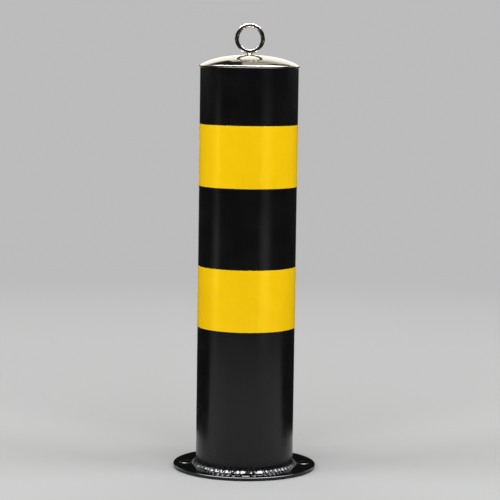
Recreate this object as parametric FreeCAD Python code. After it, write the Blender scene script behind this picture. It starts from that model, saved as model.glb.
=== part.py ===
import FreeCAD, Part
import math
import os

# A fixed parking post: a steel tube welded to a bolt-down flange, with two wrapped film bands,
# a pressed dome cap and a closed eye. Millimetres, +Z up, origin on the ground at the tube's axis.

# Tube
tube_od = 114.0
tube_wall = 2.0
tube_length = 464.0
tube_edge_break = 0.4

# Base flange, laid out from the tube outwards: weld, anchor hole, rim
flange_thickness = 4.0
flange_edge_break = 0.8
anchor_hole_d = 13.0
anchor_hole_count = 4
anchor_rim_break = 0.6
weld_to_hole = 0.5
hole_to_rim = 8.0

# Fillet weld
weld_leg_up = 6.5
weld_leg_out = 5.0
weld_bulge = 0.9
weld_ripple_pitch = 5.8
weld_ripple_step = 0.6

# Film bands, laid out from the tube's top down
film_thickness = 0.3
film_overlap = 12.0
band_height = 71.4
black_above_bands = 65.2
black_between_bands = 93.2

# Dome cap, pressed from one sheet: crown, rolled lip, return flange, skirt
cap_sheet = 1.0
cap_overhang = 1.0
cap_rise = 15.2
lip_r = 1.7
lip_tangent_deg = 55.0
skirt_depth = 14.0
skirt_fit_gap = 0.15

# Eye bolt with its washer and nut
eye_wire_d = 5.0
eye_inside_d = 25.0
neck_d = 6.0
neck_height = 3.6
neck_flare_r = 0.8
neck_foot_edge = 0.2
shank_d = 6.0
shank_hole_gap = 0.25
shank_past_nut = 2.0
shank_end_chamfer = 0.6
washer_od = 12.0
washer_thickness = 1.6
nut_across_flats = 10.0
nut_height = 5.0
nut_chamfer_deg = 30.0

# Places worked out from the sizes
tube_r = tube_od / 2
tube_bore_r = tube_r - tube_wall
tube_base_z = flange_thickness
tube_top_z = tube_base_z + tube_length
anchor_hole_r = anchor_hole_d / 2
anchor_circle_r = tube_r + weld_leg_out + weld_to_hole + anchor_hole_r
flange_r = anchor_circle_r + anchor_hole_r + hole_to_rim
upper_band_z = tube_top_z - black_above_bands - band_height
lower_band_z = upper_band_z - black_between_bands - band_height
cap_top_z = tube_top_z + cap_rise
lip_centre_x = tube_r + cap_overhang - lip_r
lip_centre_z = tube_top_z + lip_r
shank_r = shank_d / 2
shank_hole_r = shank_r + shank_hole_gap
eye_ring_r = (eye_inside_d + eye_wire_d) / 2
eye_wire_r = eye_wire_d / 2
eye_foot_z = cap_top_z + neck_height
eye_centre_z = eye_foot_z + eye_ring_r

AXIS = FreeCAD.Vector(0, 0, 1)
GROUND = FreeCAD.Vector(0, 0, 0)


def point(x, z):
    """A point of a section drawn in the XZ plane."""
    return FreeCAD.Vector(x, 0, z)


def line(start, end):
    return Part.LineSegment(point(*start), point(*end)).toShape()


def polyline(points):
    return [line(start, end) for start, end in zip(points, points[1:])]


def arc(centre, radius, start_deg, end_deg):
    """An arc of a section, through the middle of its angles."""
    angles = [math.radians(deg) for deg in (start_deg, (start_deg + end_deg) / 2, end_deg)]
    on_arc = [point(centre[0] + radius * math.cos(a), centre[1] + radius * math.sin(a)) for a in angles]
    return Part.Arc(*on_arc).toShape()


def turned(edges, sweep_deg=360):
    """The solid that a closed section sweeps round the post's axis."""
    section = Part.Face(Part.Wire(Part.__sortEdges__(edges)))
    return section.revolve(GROUND, AXIS, sweep_deg)


def ring_sector(inner_r, outer_r, z, height, sweep_deg=360):
    corners = [(inner_r, z), (outer_r, z), (outer_r, z + height), (inner_r, z + height), (inner_r, z)]
    return turned(polyline(corners), sweep_deg)


def round_pattern(shape, count):
    """Copies of a shape, evenly spaced round the post's axis."""
    copies = []
    for index in range(count):
        copy = shape.copy()
        copy.rotate(GROUND, AXIS, 360 * index / count)
        copies.append(copy)
    return copies


def circle_edges(shape, radius, z):
    """The whole circular edges of that radius at that height."""
    tolerance = 1e-4
    edges = []
    for edge in shape.Edges:
        if not isinstance(edge.Curve, Part.Circle):
            continue
        if abs(edge.Curve.Radius - radius) < tolerance and abs(edge.Curve.Center.z - z) < tolerance:
            edges.append(edge)
    return edges


class CrownCurve:
    """An elliptical arc over the post's axis, for one side of the dome's sheet."""

    def __init__(self, half_width, half_height):
        self.half_width = half_width
        self.half_height = half_height

    def inset(self, distance):
        return CrownCurve(self.half_width - distance, self.half_height - distance)

    def z_at(self, x):
        return crown_centre_z + self.half_height * math.sqrt(1 - (x / self.half_width) ** 2)

    def edge(self, start_x, end_x):
        right = point(self.half_width, crown_centre_z)
        top = point(0, crown_centre_z + self.half_height)
        ellipse = Part.Ellipse(right, top, point(0, crown_centre_z))
        end_angle = math.acos(end_x / self.half_width)
        start_angle = math.acos(start_x / self.half_width)
        return Part.ArcOfEllipse(ellipse, end_angle, start_angle).toShape()


# The dome's outside is level at the axis and tangent to the rolled lip where their slopes agree
lip_tangent = math.radians(lip_tangent_deg)
crown_end_x = lip_centre_x + lip_r * math.cos(lip_tangent)
crown_drop = cap_top_z - lip_centre_z - lip_r * math.sin(lip_tangent)
crown_slope_share = crown_drop * math.tan(lip_tangent) / crown_end_x
crown_end_cos = crown_slope_share / (1 - crown_slope_share)
crown_half_height = crown_drop / (1 - crown_end_cos)
crown_centre_z = cap_top_z - crown_half_height
crown_outside = CrownCurve(crown_end_x / math.sqrt(1 - crown_end_cos ** 2), crown_half_height)
crown_inside = crown_outside.inset(cap_sheet)


def make_post_tube():
    section = [
        (tube_bore_r, tube_base_z),
        (tube_r, tube_base_z),
        (tube_r, tube_top_z - tube_edge_break),
        (tube_r - tube_edge_break, tube_top_z),
        (tube_bore_r + tube_edge_break, tube_top_z),
        (tube_bore_r, tube_top_z - tube_edge_break),
        (tube_bore_r, tube_base_z),
    ]
    return turned(polyline(section))


def make_base_flange():
    plate = Part.makeCylinder(flange_r, flange_thickness)
    hole = Part.makeCylinder(anchor_hole_r, flange_thickness, FreeCAD.Vector(anchor_circle_r, 0, 0))
    plate = plate.cut(round_pattern(hole, anchor_hole_count))
    plate = plate.makeChamfer(anchor_rim_break, circle_edges(plate, anchor_hole_r, flange_thickness))
    return plate.makeChamfer(flange_edge_break, circle_edges(plate, flange_r, flange_thickness))


def make_base_weld():
    """A fillet bead of overlapping scales, each a slice of a cone that lies along the bead."""
    slope = math.hypot(weld_leg_up, weld_leg_out)
    face_r = (slope ** 2 / 4 + weld_bulge ** 2) / (2 * weld_bulge)
    depth = face_r - weld_bulge
    cone_x = tube_r + weld_leg_out / 2 - depth * weld_leg_up / slope
    cone_z = tube_base_z + weld_leg_up / 2 - depth * weld_leg_out / slope
    count = round(2 * math.pi * (tube_r + weld_leg_out / 2) / weld_ripple_pitch)
    slice_deg = 360 / count
    corner_r = tube_r + 2 * weld_leg_out
    corner = ring_sector(tube_r, corner_r, tube_base_z, 2 * weld_leg_up, slice_deg)
    corner.rotate(GROUND, AXIS, -slice_deg / 2)
    reach = corner_r * math.sin(math.radians(slice_deg / 2))
    cone_start = FreeCAD.Vector(cone_x, -reach, cone_z)
    cone = Part.makeCone(face_r, face_r - weld_ripple_step, 2 * reach, cone_start, FreeCAD.Vector(0, 1, 0))
    scales = round_pattern(corner.common(cone), count)
    return scales[0].multiFuse(scales[1:]).removeSplitter()


def make_reflective_band(bottom_z):
    """One turn of film with a short second layer where its end overlaps, at the back."""
    outer_r = tube_r + film_thickness
    wrap = ring_sector(tube_r, outer_r, bottom_z, band_height)
    overlap_deg = math.degrees(film_overlap / outer_r)
    tail = ring_sector(outer_r, outer_r + film_thickness, bottom_z, band_height, overlap_deg)
    tail.rotate(GROUND, AXIS, 90 - overlap_deg / 2)
    return wrap.fuse(tail).removeSplitter()


def make_dome_cap():
    skirt_r = tube_bore_r - skirt_fit_gap
    skirt_inside_r = skirt_r - cap_sheet
    skirt_end_z = tube_top_z - skirt_depth
    return_top_z = tube_top_z + cap_sheet
    underside = [
        (lip_centre_x, tube_top_z),
        (skirt_r, tube_top_z),
        (skirt_r, skirt_end_z),
        (skirt_inside_r, skirt_end_z),
        (skirt_inside_r, return_top_z),
        (lip_centre_x, return_top_z),
        (lip_centre_x, crown_inside.z_at(lip_centre_x)),
    ]
    shank_hole = [
        (shank_hole_r, crown_inside.z_at(shank_hole_r)),
        (shank_hole_r, crown_outside.z_at(shank_hole_r)),
    ]
    return turned([
        crown_outside.edge(shank_hole_r, crown_end_x),
        arc((lip_centre_x, lip_centre_z), lip_r, lip_tangent_deg, -90),
        *polyline(underside),
        crown_inside.edge(shank_hole_r, lip_centre_x),
        *polyline(shank_hole),
    ])


def washer_top_z():
    """The washer's rim bears on the hollow side of the crown."""
    return crown_inside.z_at(washer_od / 2)


def nut_top_z():
    return washer_top_z() - washer_thickness


def make_eye_bolt():
    ring = Part.makeTorus(eye_ring_r, eye_wire_r, point(0, eye_centre_z), FreeCAD.Vector(0, 1, 0))
    neck_r = neck_d / 2
    neck_base_z = crown_outside.z_at(shank_hole_r)
    flare_base_z = neck_base_z + neck_foot_edge
    flare_centre = (neck_r + neck_flare_r, flare_base_z + neck_flare_r)
    shank_end_z = nut_top_z() - nut_height - shank_past_nut
    shank = [
        (0, shank_end_z),
        (shank_r - shank_end_chamfer, shank_end_z),
        (shank_r, shank_end_z + shank_end_chamfer),
        (shank_r, neck_base_z),
        (neck_r + neck_flare_r, neck_base_z),
        (neck_r + neck_flare_r, flare_base_z),
    ]
    head = [(neck_r, flare_base_z + neck_flare_r), (eye_wire_r, eye_foot_z), (0, eye_foot_z), (0, shank_end_z)]
    stem = turned([*polyline(shank), arc(flare_centre, neck_flare_r, 270, 180), *polyline(head)])
    return ring.fuse(stem).removeSplitter()


def make_eye_washer():
    bottom_z = nut_top_z()
    return ring_sector(shank_hole_r, washer_od / 2, bottom_z, washer_thickness)


def make_eye_nut():
    """A hexagon nut, its corners turned off at both faces."""
    corner_r = nut_across_flats / math.sqrt(3)
    flat_r = nut_across_flats / 2
    bottom_z = nut_top_z() - nut_height
    corners = [
        FreeCAD.Vector(corner_r * math.cos(math.pi * k / 3), corner_r * math.sin(math.pi * k / 3), bottom_z)
        for k in range(7)
    ]
    hexagon = Part.Face(Part.makePolygon(corners)).extrude(FreeCAD.Vector(0, 0, nut_height))
    chamfer_drop = (corner_r - flat_r) * math.tan(math.radians(nut_chamfer_deg))
    turned_blank = turned(polyline([
        (shank_hole_r, bottom_z),
        (flat_r, bottom_z),
        (corner_r, bottom_z + chamfer_drop),
        (corner_r, bottom_z + nut_height - chamfer_drop),
        (flat_r, bottom_z + nut_height),
        (shank_hole_r, bottom_z + nut_height),
        (shank_hole_r, bottom_z),
    ]))
    return hexagon.common(turned_blank)


PIECES = {
    "post_tube": make_post_tube(),
    "base_flange": make_base_flange(),
    "base_weld": make_base_weld(),
    "upper_reflective_band": make_reflective_band(upper_band_z),
    "lower_reflective_band": make_reflective_band(lower_band_z),
    "dome_cap": make_dome_cap(),
    "eye_bolt": make_eye_bolt(),
    "eye_washer": make_eye_washer(),
    "eye_nut": make_eye_nut(),
}

os.makedirs("parts", exist_ok=True)
for name, shape in PIECES.items():
    shape.exportStep(os.path.join("parts", name + ".step"))
    print(name, "solids", len(shape.Solids), "volume", round(shape.Volume, 1), "valid", shape.isValid())
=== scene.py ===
import bisect
import math
import random

import bmesh
import bpy
from bpy.props import FloatProperty, FloatVectorProperty, PointerProperty
from mathutils import Matrix, Vector, noise


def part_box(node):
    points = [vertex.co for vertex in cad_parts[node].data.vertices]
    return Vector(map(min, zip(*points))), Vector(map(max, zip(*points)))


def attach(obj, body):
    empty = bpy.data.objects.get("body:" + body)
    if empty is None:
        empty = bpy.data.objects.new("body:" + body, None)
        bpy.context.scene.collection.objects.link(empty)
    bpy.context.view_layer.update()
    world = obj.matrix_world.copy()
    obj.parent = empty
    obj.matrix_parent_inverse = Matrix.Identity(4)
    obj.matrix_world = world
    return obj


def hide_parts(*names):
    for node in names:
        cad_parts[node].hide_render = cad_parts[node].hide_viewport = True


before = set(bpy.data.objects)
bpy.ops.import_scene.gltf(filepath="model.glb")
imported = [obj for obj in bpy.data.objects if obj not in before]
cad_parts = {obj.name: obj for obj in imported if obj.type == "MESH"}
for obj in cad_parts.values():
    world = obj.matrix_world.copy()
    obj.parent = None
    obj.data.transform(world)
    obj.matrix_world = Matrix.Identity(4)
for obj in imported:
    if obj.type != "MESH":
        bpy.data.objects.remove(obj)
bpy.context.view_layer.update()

bl_info = {
    "name": "Parking post",
    "version": (1, 0, 0),
    "blender": (4, 5, 0),
    "location": "View3D > Sidebar > Parking post",
    "description": "Builds a bolt-down parking post with film bands, a polished cap and a chain eye",
    "category": "Object",
}

MM = 0.001
BODY = "root"


def linear_colour(hex_text):
    """An sRGB hex value as linear red, green and blue."""
    channels = [int(hex_text[start:start + 2], 16) / 255 for start in (0, 2, 4)]
    return [c / 12.92 if c <= 0.04045 else ((c + 0.055) / 1.055) ** 2.4 for c in channels]


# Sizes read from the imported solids
TUBE_LOW, TUBE_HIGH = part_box("post_tube")
FLANGE_LOW, FLANGE_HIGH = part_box("base_flange")
WELD_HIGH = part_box("base_weld")[1]
CAP_LOW, CAP_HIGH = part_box("dome_cap")
EYE_LOW, EYE_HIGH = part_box("eye_bolt")
BAND_NODES = ("upper_reflective_band", "lower_reflective_band")


def length(name, description, default):
    """A size in metres that the user may change."""
    return FloatProperty(
        name=name, description=description, default=default, min=0.0, precision=5, unit="LENGTH"
    )


def colour(name, description, hex_text):
    """A colour that the user may change."""
    return FloatVectorProperty(
        name=name, description=description, default=linear_colour(hex_text),
        min=0.0, max=1.0, subtype="COLOR",
    )


class PostSizes(bpy.types.PropertyGroup):
    """Sizes of the post's pieces"""

    tube_radius: length("Tube radius", "Outside radius of the tube", TUBE_HIGH.x)
    tube_wall: length("Tube wall", "Thickness of the tube's wall", 2.0 * MM)
    tube_wobble: length("Tube wobble", "How far the rolled tube is out of round", 0.018 * MM)
    anchor_circle: length("Anchor circle", "Radius of the circle that the anchor holes are on", 69.0 * MM)
    anchor_hole: length("Anchor hole", "Radius of an anchor hole", 6.5 * MM)
    flange_edge: length("Flange edge", "Depth of the flange's broken upper edge", 0.35 * MM)
    hole_burr: length("Hole burr", "Height of the painted burr round an anchor hole", 0.55 * MM)
    weld_pitch: length("Weld pitch", "Length of one scale of the bead", 6.4 * MM)
    weld_scale: length("Weld scale", "How far a scale stands above its neighbours' creases", 0.26 * MM)
    film_thickness: length("Film thickness", "Thickness of the reflective film", 0.3 * MM)
    film_overlap: length("Film overlap", "How far the film's end runs over its start", 12.0 * MM)
    lip_radius: length("Lip radius", "Radius of the cap's rolled lip", 1.7 * MM)
    cap_sheet: length("Cap sheet", "Thickness of the cap's sheet", 1.0 * MM)
    eye_wire: length("Eye wire", "Radius of the eye's wire", 2.5 * MM)
    eye_neck: length("Eye neck", "Radius of the eye's neck at its waist", 3.0 * MM)
    eye_foot: length("Eye foot", "Radius of the neck's flared foot on the cap", 3.8 * MM)


class PostColours(bpy.types.PropertyGroup):
    """Colours of the post's finishes"""

    enamel: colour("Enamel", "Black enamel on the tube, flange and weld", "060607")
    enamel_dust: colour("Dust", "Fine dust that settles on the enamel", "4A4844")
    film: colour("Film", "Yellow of the reflective film", "F6C903")
    film_deep: colour("Film shade", "Deeper yellow where the film's backing shows through", "F3C002")
    stainless: colour("Stainless", "Polished stainless steel", "D8D3C8")
    zinc: colour("Zinc", "Zinc plating on the nut and washer", "C6C9CB")
    zinc_deep: colour("Zinc shade", "Darker crystals in the zinc plating", "B2B6B9")
    floor: colour("Floor", "Matt floor under the post", "A4A4A2")
    flag: colour("Flag", "Black cloth that keeps pale light out of what the post mirrors", "1C1C1C")


def add_node(tree, kind, settings=None, inputs=None):
    """Adds a node, sets its properties, and fills or links its inputs."""
    node = tree.nodes.new(kind)
    for name, value in (settings or {}).items():
        setattr(node, name, value)
    for socket_key, value in (inputs or {}).items():
        socket = node.inputs[socket_key]
        if isinstance(value, bpy.types.NodeSocket):
            tree.links.new(value, socket)
        else:
            socket.default_value = value
    return node


def new_material(name):
    """An empty node material and its tree."""
    material = bpy.data.materials.new(name)
    material.use_nodes = True
    tree = material.node_tree
    tree.nodes.clear()
    return material, tree


def rgba(values):
    """A linear colour that covers fully."""
    return (*values, 1.0)


# Sockets of a Mix node that blends colours
MIX_FACTOR = 0
MIX_A = 6
MIX_B = 7
MIX_RESULT = 2

# Size of each finish's pattern, and the depth of its relief
DUST_PATCH = 26.0 * MM
PEEL_DEPTH = 0.012 * MM
BEAD_GRAIN = 0.9 * MM
BEAD_DEPTH = 0.006 * MM
FILM_CLOUD = 18.0 * MM
BUFF_SMEAR = 14.0 * MM
BUFF_DEPTH = 0.0006 * MM
ZINC_CRYSTAL = 0.8 * MM
# How much the beads' grain counts beside the clouds in the film's shade
BEAD_SHARE = 0.35
# Least and most of a finish's own roughness, over its patches or its marks
ENAMEL_SPREAD = (0.85, 1.2)
STEEL_SPREAD = (0.6, 1.6)


def black_enamel(name, colours, roughness, peel_mm, dust_share):
    """Black enamel sprayed over steel: deep and glossy, with a faint orange peel that softens what it
    mirrors and a trace of dust that greys it in patches."""
    material, tree = new_material(name)
    place = add_node(tree, "ShaderNodeTexCoord").outputs["Object"]
    peel = add_node(tree, "ShaderNodeTexNoise", inputs={
        "Vector": place, "Scale": 1 / (peel_mm * MM), "Detail": 2.0, "Roughness": 0.45,
    })
    patches = add_node(tree, "ShaderNodeTexNoise", inputs={
        "Vector": place, "Scale": 1 / DUST_PATCH, "Detail": 4.0, "Roughness": 0.6,
    })
    dust = add_node(tree, "ShaderNodeMapRange", inputs={
        "Value": patches.outputs["Fac"], "From Min": 0.45, "From Max": 0.8,
        "To Min": 0.0, "To Max": dust_share,
    })
    body = add_node(tree, "ShaderNodeMix", {"data_type": "RGBA"}, {
        MIX_FACTOR: dust.outputs["Result"], MIX_A: rgba(colours.enamel), MIX_B: rgba(colours.enamel_dust),
    })
    gloss = add_node(tree, "ShaderNodeMapRange", inputs={
        "Value": patches.outputs["Fac"], "From Min": 0.25, "From Max": 0.75,
        "To Min": roughness * ENAMEL_SPREAD[0], "To Max": roughness * ENAMEL_SPREAD[1],
    })
    relief = add_node(tree, "ShaderNodeBump", inputs={
        "Strength": 1.0, "Distance": PEEL_DEPTH, "Height": peel.outputs["Fac"],
    })
    surface = add_node(tree, "ShaderNodeBsdfPrincipled", inputs={
        "Base Color": body.outputs[MIX_RESULT],
        "Roughness": gloss.outputs["Result"],
        "Normal": relief.outputs["Normal"],
        "IOR": 1.5,
    })
    add_node(tree, "ShaderNodeOutputMaterial", inputs={"Surface": surface.outputs["BSDF"]})
    return material


def reflective_film(colours):
    """Yellow reflective film, glass beads over a metal backing under a clear cast face: an even saturated
    yellow with a soft yellow sheen from the backing, and a fine grain from the beads. The beads are too
    fine to show, so their grain is drawn coarser."""
    material, tree = new_material("yellow_reflective_film")
    place = add_node(tree, "ShaderNodeTexCoord").outputs["Object"]
    beads = add_node(tree, "ShaderNodeTexNoise", inputs={
        "Vector": place, "Scale": 1 / BEAD_GRAIN, "Detail": 1.0, "Roughness": 0.5,
    })
    clouds = add_node(tree, "ShaderNodeTexNoise", inputs={
        "Vector": place, "Scale": 1 / FILM_CLOUD, "Detail": 3.0, "Roughness": 0.55,
    })
    grain = add_node(tree, "ShaderNodeMath", {"operation": "MULTIPLY_ADD"}, {
        0: beads.outputs["Fac"], 1: BEAD_SHARE, 2: clouds.outputs["Fac"],
    })
    shade = add_node(tree, "ShaderNodeMapRange", inputs={
        "Value": grain.outputs["Value"], "From Min": 0.3, "From Max": 1.05,
    })
    body = add_node(tree, "ShaderNodeMix", {"data_type": "RGBA"}, {
        MIX_FACTOR: shade.outputs["Result"], MIX_A: rgba(colours.film_deep), MIX_B: rgba(colours.film),
    })
    gloss = add_node(tree, "ShaderNodeMapRange", inputs={
        "Value": clouds.outputs["Fac"], "From Min": 0.25, "From Max": 0.75,
        "To Min": 0.23, "To Max": 0.26,
    })
    relief = add_node(tree, "ShaderNodeBump", inputs={
        "Strength": 1.0, "Distance": BEAD_DEPTH, "Height": beads.outputs["Fac"],
    })
    surface = add_node(tree, "ShaderNodeBsdfPrincipled", inputs={
        "Base Color": body.outputs[MIX_RESULT],
        "Roughness": gloss.outputs["Result"],
        "Normal": relief.outputs["Normal"],
        "Metallic": 0.35,
        "IOR": 1.49,
    })
    add_node(tree, "ShaderNodeOutputMaterial", inputs={"Surface": surface.outputs["BSDF"]})
    return material


def polished_stainless(name, colours, roughness, line_mm):
    """Stainless steel, mirror-polished on a turning buff: a clear warm-grey mirror, crossed by hairline
    buffing marks that run round the axis. The marks are too fine to show, so they are drawn coarser."""
    material, tree = new_material(name)
    place = add_node(tree, "ShaderNodeTexCoord").outputs["Object"]
    level = add_node(tree, "ShaderNodeVectorMath", {"operation": "MULTIPLY"}, {
        0: place, 1: (1.0, 1.0, 0.0),
    })
    from_axis = add_node(tree, "ShaderNodeVectorMath", {"operation": "LENGTH"}, {
        0: level.outputs["Vector"],
    })
    marks = add_node(tree, "ShaderNodeTexNoise", {"noise_dimensions": "1D"}, {
        "W": from_axis.outputs["Value"], "Scale": 1 / (line_mm * MM), "Detail": 3.0, "Roughness": 0.6,
    })
    smears = add_node(tree, "ShaderNodeTexNoise", inputs={
        "Vector": place, "Scale": 1 / BUFF_SMEAR, "Detail": 3.0, "Roughness": 0.5,
    })
    haze = add_node(tree, "ShaderNodeMath", {"operation": "MULTIPLY"}, {
        0: marks.outputs["Fac"], 1: smears.outputs["Fac"],
    })
    gloss = add_node(tree, "ShaderNodeMapRange", inputs={
        "Value": haze.outputs["Value"], "From Min": 0.1, "From Max": 0.45,
        "To Min": roughness * STEEL_SPREAD[0], "To Max": roughness * STEEL_SPREAD[1],
    })
    relief = add_node(tree, "ShaderNodeBump", inputs={
        "Strength": 1.0, "Distance": BUFF_DEPTH, "Height": marks.outputs["Fac"],
    })
    surface = add_node(tree, "ShaderNodeBsdfPrincipled", inputs={
        "Base Color": rgba(colours.stainless),
        "Metallic": 1.0,
        "Roughness": gloss.outputs["Result"],
        "Normal": relief.outputs["Normal"],
    })
    add_node(tree, "ShaderNodeOutputMaterial", inputs={"Surface": surface.outputs["BSDF"]})
    return material


def zinc_plate(colours):
    """Bright zinc plate on steel fasteners: a cool, slightly cloudy metal with a fine crystal mottle."""
    material, tree = new_material("zinc_plated_steel")
    place = add_node(tree, "ShaderNodeTexCoord").outputs["Object"]
    crystals = add_node(tree, "ShaderNodeTexVoronoi", inputs={"Vector": place, "Scale": 1 / ZINC_CRYSTAL})
    shade = add_node(tree, "ShaderNodeMix", {"data_type": "RGBA"}, {
        MIX_FACTOR: crystals.outputs["Distance"],
        MIX_A: rgba(colours.zinc),
        MIX_B: rgba(colours.zinc_deep),
    })
    gloss = add_node(tree, "ShaderNodeMapRange", inputs={
        "Value": crystals.outputs["Distance"], "From Min": 0.0, "From Max": 0.8,
        "To Min": 0.28, "To Max": 0.46,
    })
    surface = add_node(tree, "ShaderNodeBsdfPrincipled", inputs={
        "Base Color": shade.outputs[MIX_RESULT], "Metallic": 1.0, "Roughness": gloss.outputs["Result"],
    })
    add_node(tree, "ShaderNodeOutputMaterial", inputs={"Surface": surface.outputs["BSDF"]})
    return material


# A flat next to a rounding stays flat when a guard loop runs this far from the rounding
GUARD = 0.12 * MM
ROUND_STEPS = 6
SHARP_EDGE = math.radians(38)


def unit(vector):
    """The vector's direction, with a length of one."""
    return vector / vector.length


def rounded_section(corners):
    """Points of a section whose corners are given as x, z and rounding radius, in order round it."""
    points = []
    count = len(corners)
    for index, (x, z, radius) in enumerate(corners):
        corner = Vector((x, z))
        if radius <= 0:
            points.append(corner)
            continue
        to_last = unit(Vector(corners[index - 1][:2]) - corner)
        to_next = unit(Vector(corners[(index + 1) % count][:2]) - corner)
        half_angle = to_last.angle(to_next) / 2
        run = radius / math.tan(half_angle)
        centre = corner + unit(to_last + to_next) * (radius / math.sin(half_angle))
        start = corner + to_last * run
        end = corner + to_next * run
        points.append(start + to_last * GUARD)
        for step in range(ROUND_STEPS + 1):
            share = step / ROUND_STEPS
            spoke = (start - centre).slerp(end - centre, share)
            points.append(centre + unit(spoke) * radius)
        points.append(end + to_next * GUARD)
    return [(point.x, point.y) for point in points]


def skin(sections, count, closed_ring=True, closed_section=True):
    """Faces between neighbouring sections of a swept form that have the same count of points."""
    faces = []
    for step in range(sections if closed_ring else sections - 1):
        here = step * count
        there = (step + 1) % sections * count
        for index in range(count if closed_section else count - 1):
            after = (index + 1) % count
            faces.append((here + index, there + index, there + after, here + after))
    return faces


def sweep_round(section, segments, closed_section=True, axis=(0.0, 0.0), wobble=None):
    """Vertices and faces of a section turned a full circle round an upright axis."""
    verts = []
    for step in range(segments):
        angle = 2 * math.pi * step / segments
        for radius, z in section:
            reach = radius + (wobble(angle, z) if wobble else 0.0)
            verts.append((axis[0] + reach * math.cos(angle), axis[1] + reach * math.sin(angle), z))
    return verts, skin(segments, len(section), closed_section=closed_section)


def make_piece(name, verts, faces, material, node_name):
    """A finished object of the post: smooth where it curves, crisp at its edges, standing for one solid."""
    mesh = bpy.data.meshes.new(name)
    mesh.from_pydata(verts, [], faces)
    shape = bmesh.new()
    shape.from_mesh(mesh)
    bmesh.ops.recalc_face_normals(shape, faces=shape.faces)
    shape.to_mesh(mesh)
    shape.free()
    mesh.shade_smooth()
    mesh.set_sharp_from_angle(angle=SHARP_EDGE)
    mesh.materials.append(material)
    piece = bpy.data.objects.new(name, mesh)
    bpy.context.scene.collection.objects.link(piece)
    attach(piece, BODY)
    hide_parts(node_name)
    return piece


# Flats that the rolls leave: count round the tube, share of the wobble, turn, and share of the drift
ROLL_FLATS = ((19, 1.0, 0.0, 1.0), (31, 0.7, 1.1, -0.6), (47, 0.6, 2.3, 0.0))
# Slow drift of the flats along the tube: share, and radians to a metre
ROLL_DRIFT = ((0.7, 9.0), (0.3, 31.0))


def tube_wobble(sizes):
    """How far a rolled tube is out of round at an angle and height: long flats left by the rolls."""
    def offset(angle, z):
        drift = sum(share * math.sin(z * rate) for share, rate in ROLL_DRIFT)
        rolls = 0.0
        for count, share, turn, follow in ROLL_FLATS:
            rolls += share * math.sin(count * angle + follow * drift + turn)
        return sizes.tube_wobble * rolls
    return offset


TUBE_SEGMENTS = 384
TUBE_ROW = 8 * MM
TUBE_EDGE = 0.4 * MM


class PARKINGPOST_OT_make_tube(bpy.types.Operator):
    """Makes the rolled steel tube with its upper edges broken"""

    bl_idname = "parking_post.make_tube"
    bl_label = "Make tube"

    def execute(self, context):
        sizes = context.scene.post_sizes
        outer = sizes.tube_radius
        bore = outer - sizes.tube_wall
        low, high = TUBE_LOW.z, TUBE_HIGH.z
        rim = rounded_section([
            (bore, low, 0), (outer, low, 0), (outer, high, TUBE_EDGE), (bore, high, TUBE_EDGE),
        ])
        rows = int((high - low) / TUBE_ROW)
        wall = [(outer, low + (high - low - 2 * TUBE_EDGE) * row / rows) for row in range(1, rows)]
        section = rim[:2] + wall + rim[2:]
        verts, faces = sweep_round(section, TUBE_SEGMENTS, wobble=tube_wobble(sizes))
        material = black_enamel(
            "black_enamel_sprayed_satin", context.scene.post_colours,
            roughness=0.24, peel_mm=2.6, dust_share=0.02,
        )
        make_piece("painted_tube", verts, faces, material, "post_tube")
        return {"FINISHED"}


FLANGE_SEGMENTS = 288
HOLE_SEGMENTS = 72
HOLE_COUNT = 4
# Slope of a broken edge and of a burr's flank, from level
FLANK = math.radians(40)
# Shares of an edge's or a burr's height: the paint's rounding, and the flat land beside it
PAINT_ROUND = 0.2
LAND_SHARE = 3
# Shares of a burr's height: its crest's distance from the hole, and its height at the hole's wall
BURR_SETBACK = 0.3
BURR_WALL = 0.6


def rim_section(radius, edge, low, high):
    """The flange's outer wall, with its upper edge broken by a chamfer."""
    land = radius - LAND_SHARE * edge
    inner = radius - edge / math.tan(FLANK)
    soft = edge * PAINT_ROUND
    return rounded_section([
        (land, high, 0), (inner, high, soft), (radius, high - edge, soft),
        (radius, low, soft), (land, low, 0),
    ])


def hole_section(radius, burr, low, high):
    """A hole's wall with the burr that the punch leaves round it, rounded over by paint."""
    run = burr / math.tan(FLANK)
    soft = burr * PAINT_ROUND
    crest = radius + BURR_SETBACK * burr
    land = crest + run + LAND_SHARE * burr
    return rounded_section([
        (land, high, 0), (crest + run, high, soft), (crest, high + burr, soft),
        (radius, high + BURR_WALL * burr, soft), (radius, low, soft), (land, low, 0),
    ])


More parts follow.
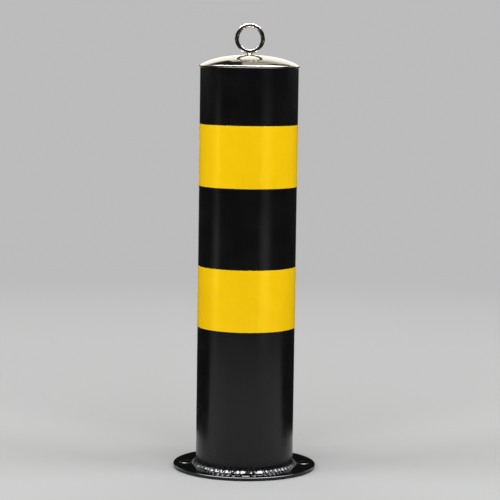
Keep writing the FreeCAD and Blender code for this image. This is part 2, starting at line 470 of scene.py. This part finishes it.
class PARKINGPOST_OT_make_flange(bpy.types.Operator):
    """Makes the round bolt-down plate with its broken edge and four anchor holes"""

    bl_idname = "parking_post.make_flange"
    bl_label = "Make flange"

    def execute(self, context):
        sizes = context.scene.post_sizes
        low, high = FLANGE_LOW.z, FLANGE_HIGH.z
        shape = bmesh.new()

        def add_wall(section, axis, segments):
            """One round wall of the plate, from a loop on its top to a loop on its underside."""
            verts, faces = sweep_round(section, segments, closed_section=False, axis=axis)
            made = [shape.verts.new(place) for place in verts]
            for face in faces:
                shape.faces.new([made[index] for index in face])
            return made[0::len(section)], made[len(section) - 1::len(section)]

        rim = rim_section(FLANGE_HIGH.x, sizes.flange_edge, low, high)
        loops = [add_wall(rim, (0, 0), FLANGE_SEGMENTS)]
        for index in range(HOLE_COUNT):
            angle = 2 * math.pi * index / HOLE_COUNT
            axis = (sizes.anchor_circle * math.cos(angle), sizes.anchor_circle * math.sin(angle))
            section = hole_section(sizes.anchor_hole, sizes.hole_burr, low, high)
            loops.append(add_wall(section, axis, HOLE_SEGMENTS))
        for side in (0, 1):
            rims = []
            for loop in loops:
                ring = loop[side]
                for start, end in zip(ring, ring[1:] + ring[:1]):
                    rims.append(shape.edges.get((start, end)) or shape.edges.new((start, end)))
            bmesh.ops.triangle_fill(shape, use_beauty=True, use_dissolve=False, edges=rims)
        shape.verts.index_update()
        verts = [tuple(vert.co) for vert in shape.verts]
        faces = [tuple(vert.index for vert in face.verts) for face in shape.faces]
        shape.free()
        material = black_enamel(
            "black_enamel_sprayed_gloss", context.scene.post_colours,
            roughness=0.05, peel_mm=3.2, dust_share=0.012,
        )
        make_piece("painted_flange", verts, faces, material, "base_flange")
        return {"FINISHED"}


WELD_SEED = 11
WELD_STEPS = 1280
WELD_ROWS = 16
WELD_FRONT = math.radians(-90)
# How far a scale trails along the bead, and how far the bead's edges sink into the tube and the flange
WELD_LAG = 1.2 * MM
WELD_SINK = 0.12 * MM
# Slope of the bead's lower face from level, its shares of the bead's height and of its rows, and how far
# its line runs on past the knee while the bead bends up to the tube
WELD_FACE = math.radians(40)
WELD_FACE_SHARE = 0.36
WELD_FACE_ROWS = 0.45
WELD_TURN = 0.5
# Share of the rows that carry scales, how square a scale's hump is, and how much of it is below the face
WELD_SCALE_END = 0.7
WELD_ROUND = 3.0
WELD_CREASE = 0.8
# An uneven hand: ranges of a scale's length, height and reach, as shares of an even one, and of its tilt
SCALE_LENGTHS = (0.72, 1.28)
SCALE_HEIGHTS = (0.65, 1.3)
SCALE_REACHES = (0.75, 1.15)
SCALE_TILTS_DEG = (-3.2, 3.2)
# Shares of the bead's leg on the flange, at a crease and added by a scale and by the drift, and how square
# a scale's toe is
TOE_CREASE = 0.84
TOE_SCALE = 0.2
TOE_DRIFT = 0.05
TOE_ROUND = 2.2
# Shares of the bead's leg on the tube: its middle height, and what the drift adds
TOP_MIDDLE = 0.92
TOP_DRIFT = 0.08
# How fast the drift changes round the bead, and how far apart its kinds are drawn
DRIFT_RATE = 3.0
DRIFT_APART = 7.3


class WeldBead:
    """A hand-laid fillet bead, started at the front, with scales of uneven length, height and reach"""

    def __init__(self, sizes):
        self.sizes = sizes
        self.foot_radius = sizes.tube_radius
        self.leg_out = WELD_HIGH.x - sizes.tube_radius
        self.leg_up = WELD_HIGH.z - FLANGE_HIGH.z
        self.run = 2 * math.pi * (self.foot_radius + self.leg_out / 2)
        dice = random.Random(WELD_SEED)
        count = round(self.run / sizes.weld_pitch)
        lengths = [dice.uniform(*SCALE_LENGTHS) for _ in range(count)]
        scale = self.run / sum(lengths)
        self.ends = []
        place = 0.0
        for share in lengths:
            place += share * scale
            self.ends.append(place)
        self.heights = [dice.uniform(*SCALE_HEIGHTS) for _ in range(count)]
        self.reaches = [dice.uniform(*SCALE_REACHES) for _ in range(count)]
        self.tilts = [math.radians(dice.uniform(*SCALE_TILTS_DEG)) for _ in range(count)]

    def scale_at(self, place):
        """The scale at a place along the bead, and how far through it that is."""
        place %= self.run
        index = min(bisect.bisect_right(self.ends, place), len(self.ends) - 1)
        start = self.ends[index - 1] if index else 0.0
        return index, (place - start) / (self.ends[index] - start)

    def drift(self, angle, kind):
        """A slow unevenness round the bead, about -1 to 1."""
        across = DRIFT_RATE * math.cos(angle)
        along = DRIFT_RATE * math.sin(angle)
        return noise.noise(Vector((across, along, DRIFT_APART * kind)))

    def section(self, angle):
        """Radius and height of the bead's face at an angle, from the flange up to the tube."""
        place = self.run * ((angle - WELD_FRONT) / (2 * math.pi))
        toe_index, toe_share = self.scale_at(place - WELD_LAG)
        toe_swell = 1 - abs(2 * toe_share - 1) ** TOE_ROUND
        scale_reach = TOE_SCALE * toe_swell * self.reaches[toe_index]
        out = self.leg_out * (TOE_CREASE + scale_reach + TOE_DRIFT * self.drift(angle, 1))
        up = self.leg_up * (TOP_MIDDLE + TOP_DRIFT * self.drift(angle, 2))
        toe = Vector((self.foot_radius + out, FLANGE_HIGH.z - WELD_SINK))
        top = Vector((self.foot_radius - WELD_SINK, FLANGE_HIGH.z + up))
        slope = WELD_FACE + self.tilts[toe_index]
        face_rise = WELD_FACE_SHARE * up
        knee = toe + Vector((-face_rise / math.tan(slope), face_rise))
        turn = knee + (knee - toe) * (1 - WELD_FACE_ROWS) / WELD_FACE_ROWS * WELD_TURN
        lift = unit(Vector((up, out)))
        points = []
        for row in range(WELD_ROWS + 1):
            share = row / WELD_ROWS
            # The lower face runs straight to its knee, and the rest steepens up to the tube
            if share < WELD_FACE_ROWS:
                bare = toe.lerp(knee, share / WELD_FACE_ROWS)
            else:
                over = (share - WELD_FACE_ROWS) / (1 - WELD_FACE_ROWS)
                bare = knee.lerp(turn, over).lerp(turn.lerp(top, over), over)
            index, through = self.scale_at(place - WELD_LAG * share)
            swell = 1 - abs(2 * through - 1) ** WELD_ROUND
            fade = math.sin(math.pi * min(share / WELD_SCALE_END, 1.0))
            scale = self.sizes.weld_scale * self.heights[index] * (swell - WELD_CREASE) * fade
            points.append(bare + lift * scale)
        points.append(Vector((self.foot_radius - WELD_SINK, FLANGE_HIGH.z - WELD_SINK)))
        return points


class PARKINGPOST_OT_make_weld(bpy.types.Operator):
    """Makes the painted fillet weld between the tube and the flange"""

    bl_idname = "parking_post.make_weld"
    bl_label = "Make weld"

    def execute(self, context):
        bead = WeldBead(context.scene.post_sizes)
        verts = []
        for step in range(WELD_STEPS):
            angle = 2 * math.pi * step / WELD_STEPS
            for point in bead.section(angle):
                verts.append((point.x * math.cos(angle), point.x * math.sin(angle), point.y))
        faces = skin(WELD_STEPS, len(verts) // WELD_STEPS)
        material = black_enamel(
            "black_enamel_sprayed_over_weld", context.scene.post_colours,
            roughness=0.07, peel_mm=4.0, dust_share=0.01,
        )
        make_piece("painted_weld", verts, faces, material, "base_weld")
        return {"FINISHED"}


BAND_STEPS = 400
BAND_ROWS = 9
# The middle of the overlap, at the back
BAND_END = math.radians(90)
FILM_CLIMB = 2.5 * MM
# Share of the film's thickness that its cut edges are rounded by
FILM_ROUND = 0.3


class PARKINGPOST_OT_make_bands(bpy.types.Operator):
    """Wraps the two reflective films round the tube, with their ends overlapping at the back"""

    bl_idname = "parking_post.make_bands"
    bl_label = "Make bands"

    def execute(self, context):
        sizes = context.scene.post_sizes
        film = sizes.film_thickness
        wobble = tube_wobble(sizes)
        overlap = sizes.film_overlap / sizes.tube_radius
        climb = FILM_CLIMB / sizes.tube_radius
        sweep = 2 * math.pi + overlap
        start = BAND_END - overlap / 2
        material = reflective_film(context.scene.post_colours)
        for node_name in BAND_NODES:
            low, high = (corner.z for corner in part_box(node_name))
            edge = film * FILM_ROUND
            rim = rounded_section([(0, low, 0), (film, low, edge), (film, high, edge), (0, high, 0)])
            half = len(rim) // 2
            rows = [(film, low + (high - low) * row / BAND_ROWS) for row in range(1, BAND_ROWS)]
            section = rim[:half] + rows + rim[half:]
            verts = []
            for step in range(BAND_STEPS + 1):
                turned = sweep * step / BAND_STEPS
                angle = start + turned
                # The film's end climbs smoothly onto its start
                rise = min(max((turned - 2 * math.pi + climb) / climb, 0.0), 1.0)
                lift = film * rise * rise * (3 - 2 * rise)
                for proud, z in section:
                    reach = sizes.tube_radius + wobble(angle, z) + lift + proud
                    verts.append((reach * math.cos(angle), reach * math.sin(angle), z))
            count = len(section)
            ends = [tuple(range(count)), tuple(range(BAND_STEPS * count, (BAND_STEPS + 1) * count))]
            faces = ends + skin(BAND_STEPS + 1, count, closed_ring=False)
            piece_name = node_name.replace("reflective", "film")
            make_piece(piece_name, verts, faces, material, node_name)
        return {"FINISHED"}


CAP_SEGMENTS = 320
CROWN_STEPS = 56
LIP_STEPS = 28
LIP_TANGENT = math.radians(55)
SHANK_HOLE = 3.25 * MM
SKIRT_GAP = 0.15 * MM
# The cap's highest point is the rim of the shank's hole, this far under the crown's own top
HOLE_DROP = 0.03 * MM


class PARKINGPOST_OT_make_cap(bpy.types.Operator):
    """Makes the pressed dome cap with its rolled lip and its skirt inside the tube"""

    bl_idname = "parking_post.make_cap"
    bl_label = "Make cap"

    def execute(self, context):
        sizes = context.scene.post_sizes
        lip = sizes.lip_radius
        sheet = sizes.cap_sheet
        seat = TUBE_HIGH.z
        lip_x = CAP_HIGH.x - lip
        lip_z = seat + lip
        # The crown is an ellipse that is level at the axis and tangent to the lip
        crown_end = lip_x + lip * math.cos(LIP_TANGENT)
        drop = CAP_HIGH.z + HOLE_DROP - lip_z - lip * math.sin(LIP_TANGENT)
        slope_share = drop * math.tan(LIP_TANGENT) / crown_end
        end_cos = slope_share / (1 - slope_share)
        crown_height = drop / (1 - end_cos)
        crown_width = crown_end / math.sqrt(1 - end_cos ** 2)
        crown_base = CAP_HIGH.z + HOLE_DROP - crown_height
        if crown_base > seat:
            raise RuntimeError("the cap's rise is too small for its lip")

        def crown(radius, inset):
            """A point of the crown at a distance from the axis, inset from its outside."""
            width, height = crown_width - inset, crown_height - inset
            return radius, crown_base + height * math.sqrt(1 - (radius / width) ** 2)

        def crown_points(start, end, inset):
            """Points of the crown from one distance from the axis to another."""
            radii = [start + (end - start) * step / CROWN_STEPS for step in range(CROWN_STEPS + 1)]
            return [crown(radius, inset) for radius in radii]

        lip_points = []
        for step in range(1, LIP_STEPS + 1):
            angle = LIP_TANGENT - (LIP_TANGENT + math.pi / 2) * step / LIP_STEPS
            lip_points.append((lip_x + lip * math.cos(angle), lip_z + lip * math.sin(angle)))
        skirt = sizes.tube_radius - sizes.tube_wall - SKIRT_GAP
        inside = [
            (skirt, seat), (skirt, CAP_LOW.z), (skirt - sheet, CAP_LOW.z), (skirt - sheet, seat + sheet),
            (lip_x, seat + sheet),
        ]
        section = crown_points(SHANK_HOLE, crown_end, 0) + lip_points + inside
        section += crown_points(lip_x, SHANK_HOLE, sheet)
        verts, faces = sweep_round(section, CAP_SEGMENTS)
        material = polished_stainless(
            "mirror_polished_stainless_cap", context.scene.post_colours, roughness=0.08, line_mm=0.9,
        )
        make_piece("polished_cap", verts, faces, material, "dome_cap")
        return {"FINISHED"}


RING_STEPS = 24
WIRE_STEPS = 8
NECK_STEPS = 8
EYE_ROUNDING = 3
# Levels of the neck: millimetres over the cap's top, the size that its radius follows, and the share of it
NECK_LEVELS = (
    (1.5, "eye_neck", 1.0),
    (0.7, "eye_neck", 1.05),
    (0.25, "eye_foot", 1.0),
    (-0.05, "eye_foot", 1.0),
    (-0.1, "eye_neck", 1.0),
    (-0.6, "eye_neck", 1.0),
)
# Levels of the shank's end: millimetres over its tip, and the share of the neck's radius
TIP_LEVELS = ((0.7, 1.0), (0.1, 0.85), (0.0, 0.7))


def cage_fill(steps):
    """How much of its cage's radius a subdivided ring of that many points keeps."""
    return 2 / 3 + math.cos(2 * math.pi / steps) / 3


class PARKINGPOST_OT_make_eye(bpy.types.Operator):
    """Makes the closed eye, its flared neck and the shank that goes through the cap"""

    bl_idname = "parking_post.make_eye"
    bl_label = "Make eye"

    def execute(self, context):
        sizes = context.scene.post_sizes
        wire = sizes.eye_wire
        ring = EYE_HIGH.x - wire
        centre_z = EYE_HIGH.z - EYE_HIGH.x
        wire_cage = wire / cage_fill(WIRE_STEPS)
        verts = []
        for step in range(RING_STEPS):
            turn = 2 * math.pi * step / RING_STEPS - math.pi / 2
            for corner in range(WIRE_STEPS):
                lean = 2 * math.pi * corner / WIRE_STEPS
                reach = (ring + wire_cage * math.cos(lean)) / cage_fill(RING_STEPS)
                y = wire_cage * math.sin(lean)
                verts.append((reach * math.cos(turn), y, centre_z + reach * math.sin(turn)))

        def on_ring(step, corner):
            """The number of a point on the ring, which counts on past its start."""
            return (step % RING_STEPS) * WIRE_STEPS + corner % WIRE_STEPS

        foot_faces = {(step % RING_STEPS, corner % WIRE_STEPS) for step in (-1, 0) for corner in (-1, 0)}
        faces = []
        for step in range(RING_STEPS):
            for corner in range(WIRE_STEPS):
                if (step, corner) not in foot_faces:
                    faces.append((
                        on_ring(step, corner), on_ring(step + 1, corner),
                        on_ring(step + 1, corner + 1), on_ring(step, corner + 1),
                    ))
        # The neck grows out of the ring's underside and goes down through the cap as the shank
        mouth = [(1, 0), (1, 1), (0, 1), (-1, 1), (-1, 0), (-1, -1), (0, -1), (1, -1)]
        last_loop = [on_ring(step, corner) for step, corner in mouth]
        levels = []
        for height, size, share in NECK_LEVELS:
            levels.append((CAP_HIGH.z + height * MM, getattr(sizes, size) * share))
        for height, share in TIP_LEVELS:
            levels.append((EYE_LOW.z + height * MM, sizes.eye_neck * share))
        for z, radius in levels:
            cage = radius / cage_fill(NECK_STEPS)
            loop = []
            for index in range(NECK_STEPS):
                angle = 2 * math.pi * index / NECK_STEPS
                loop.append(len(verts))
                verts.append((cage * math.cos(angle), cage * math.sin(angle), z))
            for index in range(NECK_STEPS):
                after = (index + 1) % NECK_STEPS
                faces.append((last_loop[index], last_loop[after], loop[after], loop[index]))
            last_loop = loop
        faces.append(tuple(last_loop))
        middle = on_ring(0, 0)
        faces = [tuple(index - (index > middle) for index in face) for face in faces]
        del verts[middle]
        material = polished_stainless(
            "polished_stainless_eye", context.scene.post_colours, roughness=0.08, line_mm=0.6,
        )
        eye = make_piece("polished_eye", verts, faces, material, "eye_bolt")
        for edge in eye.data.edges:
            edge.use_edge_sharp = False
        rounding = eye.modifiers.new("rounding", "SUBSURF")
        rounding.levels = EYE_ROUNDING
        finished = eye.evaluated_get(context.evaluated_depsgraph_get())
        mesh = bpy.data.meshes.new_from_object(finished)
        eye.modifiers.remove(rounding)
        eye.data = mesh
        return {"FINISHED"}


class PARKINGPOST_OT_finish_fasteners(bpy.types.Operator):
    """Gives the hidden washer and nut their zinc plate"""

    bl_idname = "parking_post.finish_fasteners"
    bl_label = "Finish fasteners"

    def execute(self, context):
        material = zinc_plate(context.scene.post_colours)
        for node_name in ("eye_washer", "eye_nut"):
            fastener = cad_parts[node_name]
            fastener.data.materials.clear()
            fastener.data.materials.append(material)
        return {"FINISHED"}


WHITE = (1.0, 1.0, 1.0, 1.0)
FLOOR_SEGMENTS = 96
FLOOR_RADIUS = 2.2
FLOOR_ROUGHNESS = 0.5
FLOOR_FADE_START = 0.5
FLOOR_FADE_END = 2.0
BACKDROP_LEVEL = 0.5
CEILING_LEVEL = 0.24
# The backdrop turns into the ceiling between these sines of the angle above the horizon
BACKDROP_END = 0.04
CEILING_START = 0.22

# Lamp name, degrees to the right of the front, distance, height, width, depth, radiance, where 1 is a white
# wall in the same light, and whether it only lights the post or also shows in what the post mirrors
SOFTBOXES = (
    ("left_strip", -78, 2.2, 1.1, 1.6, 0.6, 14.2, "lights"),
    ("front_left_strip", -24, 2.2, 1.0, 1.6, 0.6, 8.7, "lights"),
    ("front_right_strip", 24, 2.2, 1.0, 1.6, 0.6, 8.7, "lights"),
    ("right_strip", 78, 2.2, 1.1, 1.6, 0.6, 14.2, "lights"),
    ("rear_left_strip", -150, 2.2, 1.1, 1.6, 0.6, 7.0, "lights"),
    ("rear_right_strip", 150, 2.2, 1.1, 1.6, 0.6, 7.0, "lights"),
    ("left_glow", -77, 1.1, 0.19, 0.28, 0.38, 0.55, "both"),
    ("right_glow", 41, 1.1, 0.19, 0.4, 0.38, 0.55, "both"),
    ("back_panel_low", 180, 2.0, 0.92, 4.0, 0.5, 1.1, "both"),
    ("back_panel_middle", 180, 1.95, 1.42, 4.0, 0.5, 0.95, "both"),
    ("back_panel_high", 173, 1.8, 1.9, 0.95, 0.5, 0.55, "both"),
    ("back_panel_top", 171, 1.0, 2.2, 0.6, 0.95, 0.4, "both"),
)
AIM_HEIGHT = 0.35
COOL_LIGHT = "FAFCFF"
WARM_LIGHT = "FFFAF0"

# Flag name, degrees of its middle round from the right, degrees of half its sweep, and then the distance
# and height of each of its edges
FLAGS = (
    ("front_flag", -90, 100, ((0.46, 0.26), (1.0, 0.26), (2.1, 0.3), (2.3, 1.7))),
    ("side_flag", -90, 165, ((0.95, 0.0), (2.2, 0.55))),
    ("back_flag", 90, 40, ((3.2, 0.25), (3.2, 0.82))),
    ("high_flag", 90, 40, ((2.2, 2.07), (1.1, 2.94))),
    ("floor_flag", 90, 90, ((0.22, 0.002), (0.95, 0.0))),
)
FLAG_STEPS = 48

# A light that hangs over the post: its height, how far in front of the post its middle is, how fast its
# arms sweep back and how far they reach sideways, its widths, and its radiance from where it starts to dim
ARCH_HEIGHT = 2.0
ARCH_FRONT = 0.12
ARCH_SWEEP = 0.3
ARCH_REACH = 1.9
ARCH_MIDDLE_WIDTH = 0.34
ARCH_END_WIDTH = 0.45
ARCH_DIM_START = 0.7
ARCH_MIDDLE_RADIANCE = 26.0
ARCH_END_RADIANCE = 2.0
ARCH_STEPS = 64

CAMERA_PLACE = (-0.0552, -2.2729, 0.4966)
CAMERA_YAW = math.radians(1.479)
CAMERA_PITCH = math.radians(6.037)
CAMERA_ROLL = math.radians(0.798)
CAMERA_LENS = 141.04
CAMERA_SENSOR = 36.0


class PARKINGPOST_OT_make_stage(bpy.types.Operator):
    """Sets the floor, black flags, backdrop, soft lamps, overhead light and camera round the post"""

    bl_idname = "parking_post.make_stage"
    bl_label = "Make stage"

    def execute(self, context):
        scene = context.scene
        self.make_floor(scene)
        self.make_flags(scene)
        self.make_backdrop(scene)
        self.make_lamps(scene)
        self.make_arch(scene)
        self.make_camera(scene)
        scene.view_settings.view_transform = "Standard"
        return {"FINISHED"}

    def make_floor(self, scene):
        """A pale floor under the post that fades into the backdrop."""
        shape = bmesh.new()
        bmesh.ops.create_circle(shape, cap_ends=True, segments=FLOOR_SEGMENTS, radius=FLOOR_RADIUS)
        mesh = bpy.data.meshes.new("floor")
        shape.to_mesh(mesh)
        shape.free()
        # Matt painted board: pale, even and without gloss
        material, tree = new_material("matt_painted_floor")
        place = add_node(tree, "ShaderNodeTexCoord").outputs["Object"]
        from_centre = add_node(tree, "ShaderNodeVectorMath", {"operation": "LENGTH"}, {0: place})
        fade = add_node(tree, "ShaderNodeMapRange", {"interpolation_type": "SMOOTHSTEP"}, {
            "Value": from_centre.outputs["Value"], "From Min": FLOOR_FADE_START, "From Max": FLOOR_FADE_END,
        })
        board = add_node(tree, "ShaderNodeBsdfDiffuse", inputs={
            "Color": rgba(scene.post_colours.floor), "Roughness": FLOOR_ROUGHNESS,
        })
        far = add_node(tree, "ShaderNodeEmission", inputs={"Color": WHITE, "Strength": BACKDROP_LEVEL})
        mixed = add_node(tree, "ShaderNodeMixShader", inputs={
            0: fade.outputs["Result"], 1: board.outputs["BSDF"], 2: far.outputs["Emission"],
        })
        add_node(tree, "ShaderNodeOutputMaterial", inputs={"Surface": mixed.outputs["Shader"]})
        mesh.materials.append(material)
        floor = bpy.data.objects.new("floor", mesh)
        scene.collection.objects.link(floor)

    def hang(self, scene, name, verts, faces, material):
        """A stage piece that only shows in what the post mirrors."""
        mesh = bpy.data.meshes.new(name)
        mesh.from_pydata(verts, [], faces)
        mesh.materials.append(material)
        hung = bpy.data.objects.new(name, mesh)
        hung.visible_camera = False
        hung.visible_diffuse = False
        hung.visible_shadow = False
        scene.collection.objects.link(hung)

    def make_flags(self, scene):
        """Curved black cloths that keep pale light out of what the paint and the polish mirror."""
        # Black cloth: dull, with almost nothing to mirror
        material, tree = new_material("black_cloth")
        cloth = add_node(tree, "ShaderNodeBsdfDiffuse", inputs={"Color": rgba(scene.post_colours.flag)})
        add_node(tree, "ShaderNodeOutputMaterial", inputs={"Surface": cloth.outputs["BSDF"]})
        for name, middle_deg, half_deg, edges in FLAGS:
            verts = []
            for step in range(FLAG_STEPS + 1):
                angle = math.radians(middle_deg + half_deg * (2 * step / FLAG_STEPS - 1))
                verts += [(reach * math.cos(angle), reach * math.sin(angle), z) for reach, z in edges]
            faces = skin(FLAG_STEPS + 1, len(edges), closed_ring=False, closed_section=False)
            self.hang(scene, name, verts, faces, material)

    def make_lamps(self, scene):
        """Soft lamps round the post, the ones behind it a little warmer."""
        for name, side_deg, distance, height, width, depth, radiance, task in SOFTBOXES:
            side = math.radians(side_deg)
            lamp = bpy.data.lights.new(name, "AREA")
            lamp.shape = "RECTANGLE"
            lamp.size = width
            lamp.size_y = depth
            lamp.energy = radiance * math.pi * width * depth
            lamp.color = linear_colour(WARM_LIGHT if name.startswith("back") else COOL_LIGHT)
            holder = bpy.data.objects.new(name, lamp)
            holder.location = (distance * math.sin(side), -distance * math.cos(side), height)
            aim = Vector((0, 0, AIM_HEIGHT)) - holder.location
            holder.rotation_euler = aim.to_track_quat("-Z", "Y").to_euler()
            holder.visible_camera = False
            holder.visible_glossy = task == "both"
            scene.collection.objects.link(holder)

    def make_arch(self, scene):
        """A curved light overhead that only shows in what the post mirrors, brightest in its middle."""
        verts = []
        for step in range(ARCH_STEPS + 1):
            x = ARCH_REACH * (2 * step / ARCH_STEPS - 1)
            middle = Vector((x, ARCH_SWEEP * x * x - ARCH_FRONT))
            across = unit(Vector((-2 * ARCH_SWEEP * x, 1.0)))
            share = abs(x) / ARCH_REACH
            half_width = (ARCH_MIDDLE_WIDTH + (ARCH_END_WIDTH - ARCH_MIDDLE_WIDTH) * share) / 2
            edges = (middle + across * half_width, middle - across * half_width)
            verts += [(edge.x, edge.y, ARCH_HEIGHT) for edge in edges]
        faces = skin(ARCH_STEPS + 1, len(edges), closed_ring=False, closed_section=False)
        # Translucent cloth over a row of lamps: an even white that dims towards both ends
        material, tree = new_material("lit_diffuser_cloth")
        place = add_node(tree, "ShaderNodeTexCoord").outputs["Object"]
        parts = add_node(tree, "ShaderNodeSeparateXYZ", inputs={0: place})
        from_middle = add_node(tree, "ShaderNodeMath", {"operation": "ABSOLUTE"}, {0: parts.outputs["X"]})
        level = add_node(tree, "ShaderNodeMapRange", {"interpolation_type": "SMOOTHSTEP"}, {
            "Value": from_middle.outputs["Value"], "From Min": ARCH_DIM_START, "From Max": ARCH_REACH,
            "To Min": ARCH_MIDDLE_RADIANCE, "To Max": ARCH_END_RADIANCE,
        })
        glow = add_node(tree, "ShaderNodeEmission", inputs={
            "Color": rgba(linear_colour(COOL_LIGHT)), "Strength": level.outputs["Result"],
        })
        add_node(tree, "ShaderNodeOutputMaterial", inputs={"Surface": glow.outputs["Emission"]})
        self.hang(scene, "arch_light", verts, faces, material)

    def make_backdrop(self, scene):
        """A plain pale backdrop all round, under a dim ceiling."""
        world = bpy.data.worlds.new("soft_backdrop")
        world.use_nodes = True
        tree = world.node_tree
        tree.nodes.clear()
        direction = add_node(tree, "ShaderNodeTexCoord").outputs["Generated"]
        parts = add_node(tree, "ShaderNodeSeparateXYZ", inputs={0: direction})
        level = add_node(tree, "ShaderNodeMapRange", {"interpolation_type": "SMOOTHSTEP"}, {
            "Value": parts.outputs["Z"], "From Min": BACKDROP_END, "From Max": CEILING_START,
            "To Min": BACKDROP_LEVEL, "To Max": CEILING_LEVEL,
        })
        glow = add_node(tree, "ShaderNodeBackground", inputs={
            "Color": WHITE, "Strength": level.outputs["Result"],
        })
        add_node(tree, "ShaderNodeOutputWorld", inputs={"Surface": glow.outputs["Background"]})
        scene.world = world

    def make_camera(self, scene):
        """The camera, placed and aimed to match the photo's view."""
        lens = bpy.data.cameras.new("camera")
        lens.lens = CAMERA_LENS
        lens.sensor_width = CAMERA_SENSOR
        camera = bpy.data.objects.new("camera", lens)
        camera.location = CAMERA_PLACE
        turn = Matrix.Rotation(-CAMERA_YAW, 4, "Z")
        tilt = Matrix.Rotation(math.pi / 2 - CAMERA_PITCH, 4, "X")
        roll = Matrix.Rotation(CAMERA_ROLL, 4, "Z")
        camera.rotation_euler = (turn @ tilt @ roll).to_euler()
        scene.collection.objects.link(camera)
        scene.camera = camera


OPERATORS = (
    PARKINGPOST_OT_make_tube,
    PARKINGPOST_OT_make_flange,
    PARKINGPOST_OT_make_weld,
    PARKINGPOST_OT_make_bands,
    PARKINGPOST_OT_make_cap,
    PARKINGPOST_OT_make_eye,
    PARKINGPOST_OT_finish_fasteners,
    PARKINGPOST_OT_make_stage,
)


class PARKINGPOST_PT_sidebar(bpy.types.Panel):
    """Lists the post's sizes, colours and pieces"""

    bl_idname = "PARKINGPOST_PT_sidebar"
    bl_label = "Parking post"
    bl_space_type = "VIEW_3D"
    bl_region_type = "UI"
    bl_category = "Parking post"

    def draw(self, context):
        for group in (context.scene.post_sizes, context.scene.post_colours):
            box = self.layout.box()
            for name in group.__annotations__:
                box.prop(group, name)
        for operator in OPERATORS:
            self.layout.operator(operator.bl_idname)


CLASSES = (PostSizes, PostColours, *OPERATORS, PARKINGPOST_PT_sidebar)


def register():
    for item in CLASSES:
        bpy.utils.register_class(item)
    bpy.types.Scene.post_sizes = PointerProperty(type=PostSizes)
    bpy.types.Scene.post_colours = PointerProperty(type=PostColours)


def unregister():
    del bpy.types.Scene.post_colours
    del bpy.types.Scene.post_sizes
    for item in reversed(CLASSES):
        bpy.utils.unregister_class(item)


def main():
    register()
    bpy.ops.parking_post.make_tube()
    bpy.ops.parking_post.make_flange()
    bpy.ops.parking_post.make_weld()
    bpy.ops.parking_post.make_bands()
    bpy.ops.parking_post.make_cap()
    bpy.ops.parking_post.make_eye()
    bpy.ops.parking_post.finish_fasteners()
    bpy.ops.parking_post.make_stage()


if __name__ == "__main__":
    main()
